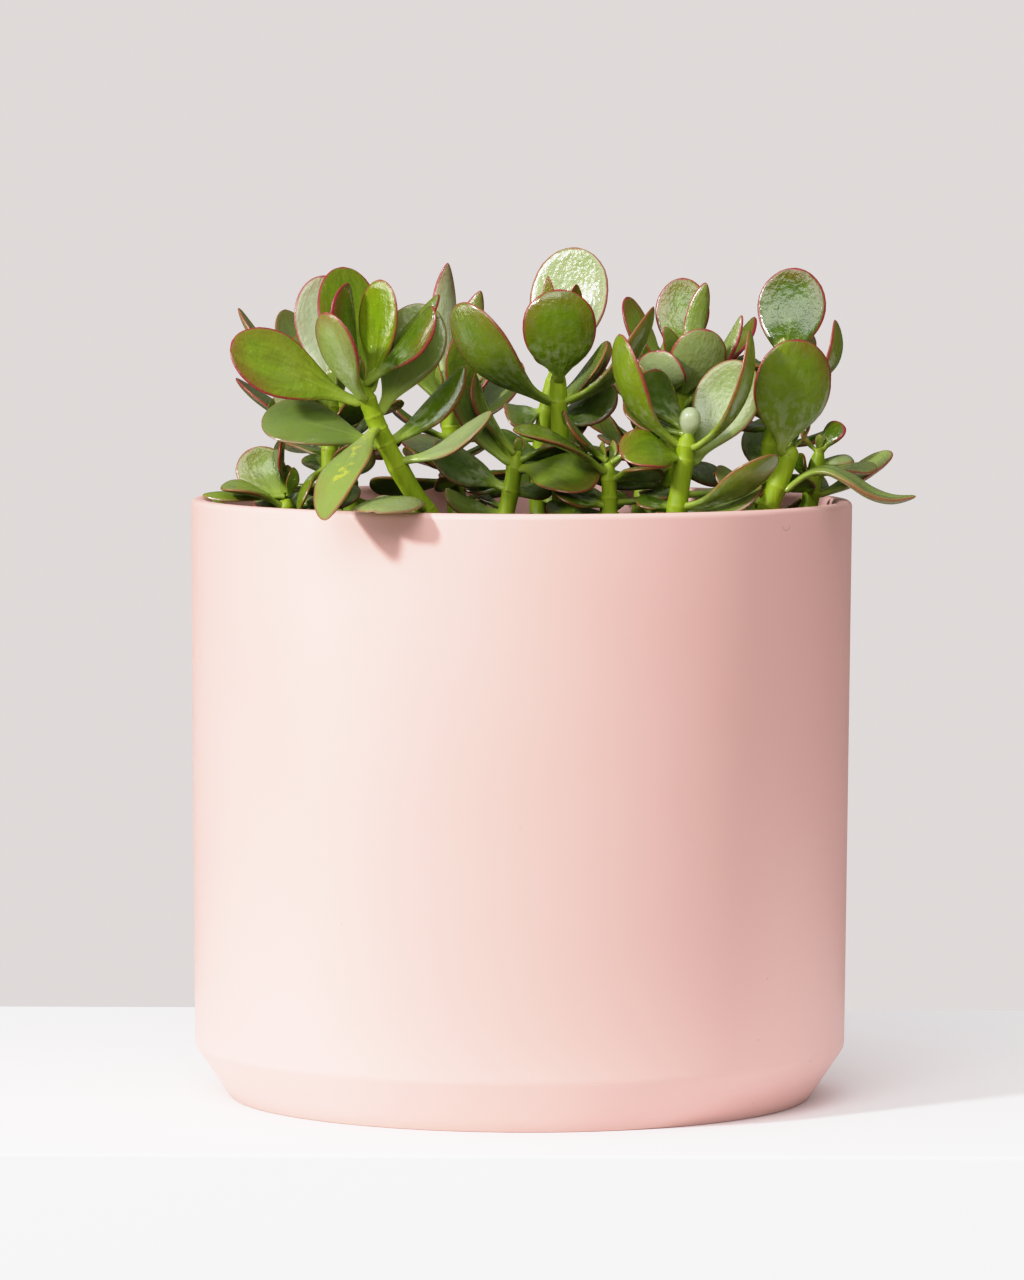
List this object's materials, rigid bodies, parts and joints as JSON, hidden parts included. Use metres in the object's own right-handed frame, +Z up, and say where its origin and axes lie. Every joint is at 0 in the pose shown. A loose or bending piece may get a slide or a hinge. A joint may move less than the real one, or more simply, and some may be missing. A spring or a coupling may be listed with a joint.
{
  "type": "potted jade plant",
  "caption": "Round matte pink planter with a chamfered foot, filled with soil and a leafy jade plant whose thick red-edged leaves stand on short green stems.",
  "frame": {"origin": "middle of the planter's underside, on the plane it stands on", "axes": "+Z up along the planter's axis, -Y to the front of the plant, +X to the viewer's right"},
  "size_m": [0.2753, 0.2671, 0.3263],
  "materials": {
    "pot_glaze": "satin",
    "plug_rubber": "matte",
    "potting_soil": "matte",
    "stem_green": "satin",
    "leaf_green": "satin"
  },
  "bodies": {
    "root": {"drain_plug": "plug_rubber", "leaf_back_1": "leaf_green", "leaf_back_2": "leaf_green", "leaf_back_3": "leaf_green", "leaf_back_corner_1": "leaf_green", "leaf_back_corner_2": "leaf_green", "leaf_back_left_1": "leaf_green", "leaf_back_left_2": "leaf_green", "leaf_back_left_3": "leaf_green", "leaf_back_right_1": "leaf_green", "leaf_back_right_2": "leaf_green", "leaf_back_right_3": "leaf_green", "leaf_centre_1": "leaf_green", "leaf_centre_2": "leaf_green", "leaf_centre_3": "leaf_green", "leaf_centre_back_1": "leaf_green", "leaf_centre_back_2": "leaf_green", "leaf_centre_low_1": "leaf_green", "leaf_left_back_1": "leaf_green", "leaf_left_back_2": "leaf_green", "leaf_left_edge_1": "leaf_green", "leaf_left_edge_2": "leaf_green", "leaf_left_front_1": "leaf_green", "leaf_left_front_2": "leaf_green", "leaf_left_front_3": "leaf_green", "leaf_left_front_4": "leaf_green", "leaf_left_front_5": "leaf_green", "leaf_left_front_6": "leaf_green", "leaf_left_front_7": "leaf_green", "leaf_left_front_8": "leaf_green", "leaf_mid_left_1": "leaf_green", "leaf_mid_left_2": "leaf_green", "leaf_right_back_1": "leaf_green", "leaf_right_back_2": "leaf_green", "leaf_right_centre_1": "leaf_green", "leaf_right_centre_2": "leaf_green", "leaf_right_centre_3": "leaf_green", "leaf_right_centre_4": "leaf_green", "leaf_right_centre_5": "leaf_green", "leaf_right_edge_1": "leaf_green", "leaf_right_edge_2": "leaf_green", "leaf_right_front_1": "leaf_green", "leaf_right_front_2": "leaf_green", "pot": "pot_glaze", "soil": "potting_soil", "stem_back": "stem_green", "stem_back_corner": "stem_green", "stem_back_left": "stem_green", "stem_back_right": "stem_green", "stem_centre": "stem_green", "stem_centre_back": "stem_green", "stem_centre_low": "stem_green", "stem_left_back": "stem_green", "stem_left_edge": "stem_green", "stem_left_front": "stem_green", "stem_mid_left": "stem_green", "stem_right_back": "stem_green", "stem_right_centre": "stem_green", "stem_right_edge": "stem_green", "stem_right_front": "stem_green"}
  },
  "joints": []
}
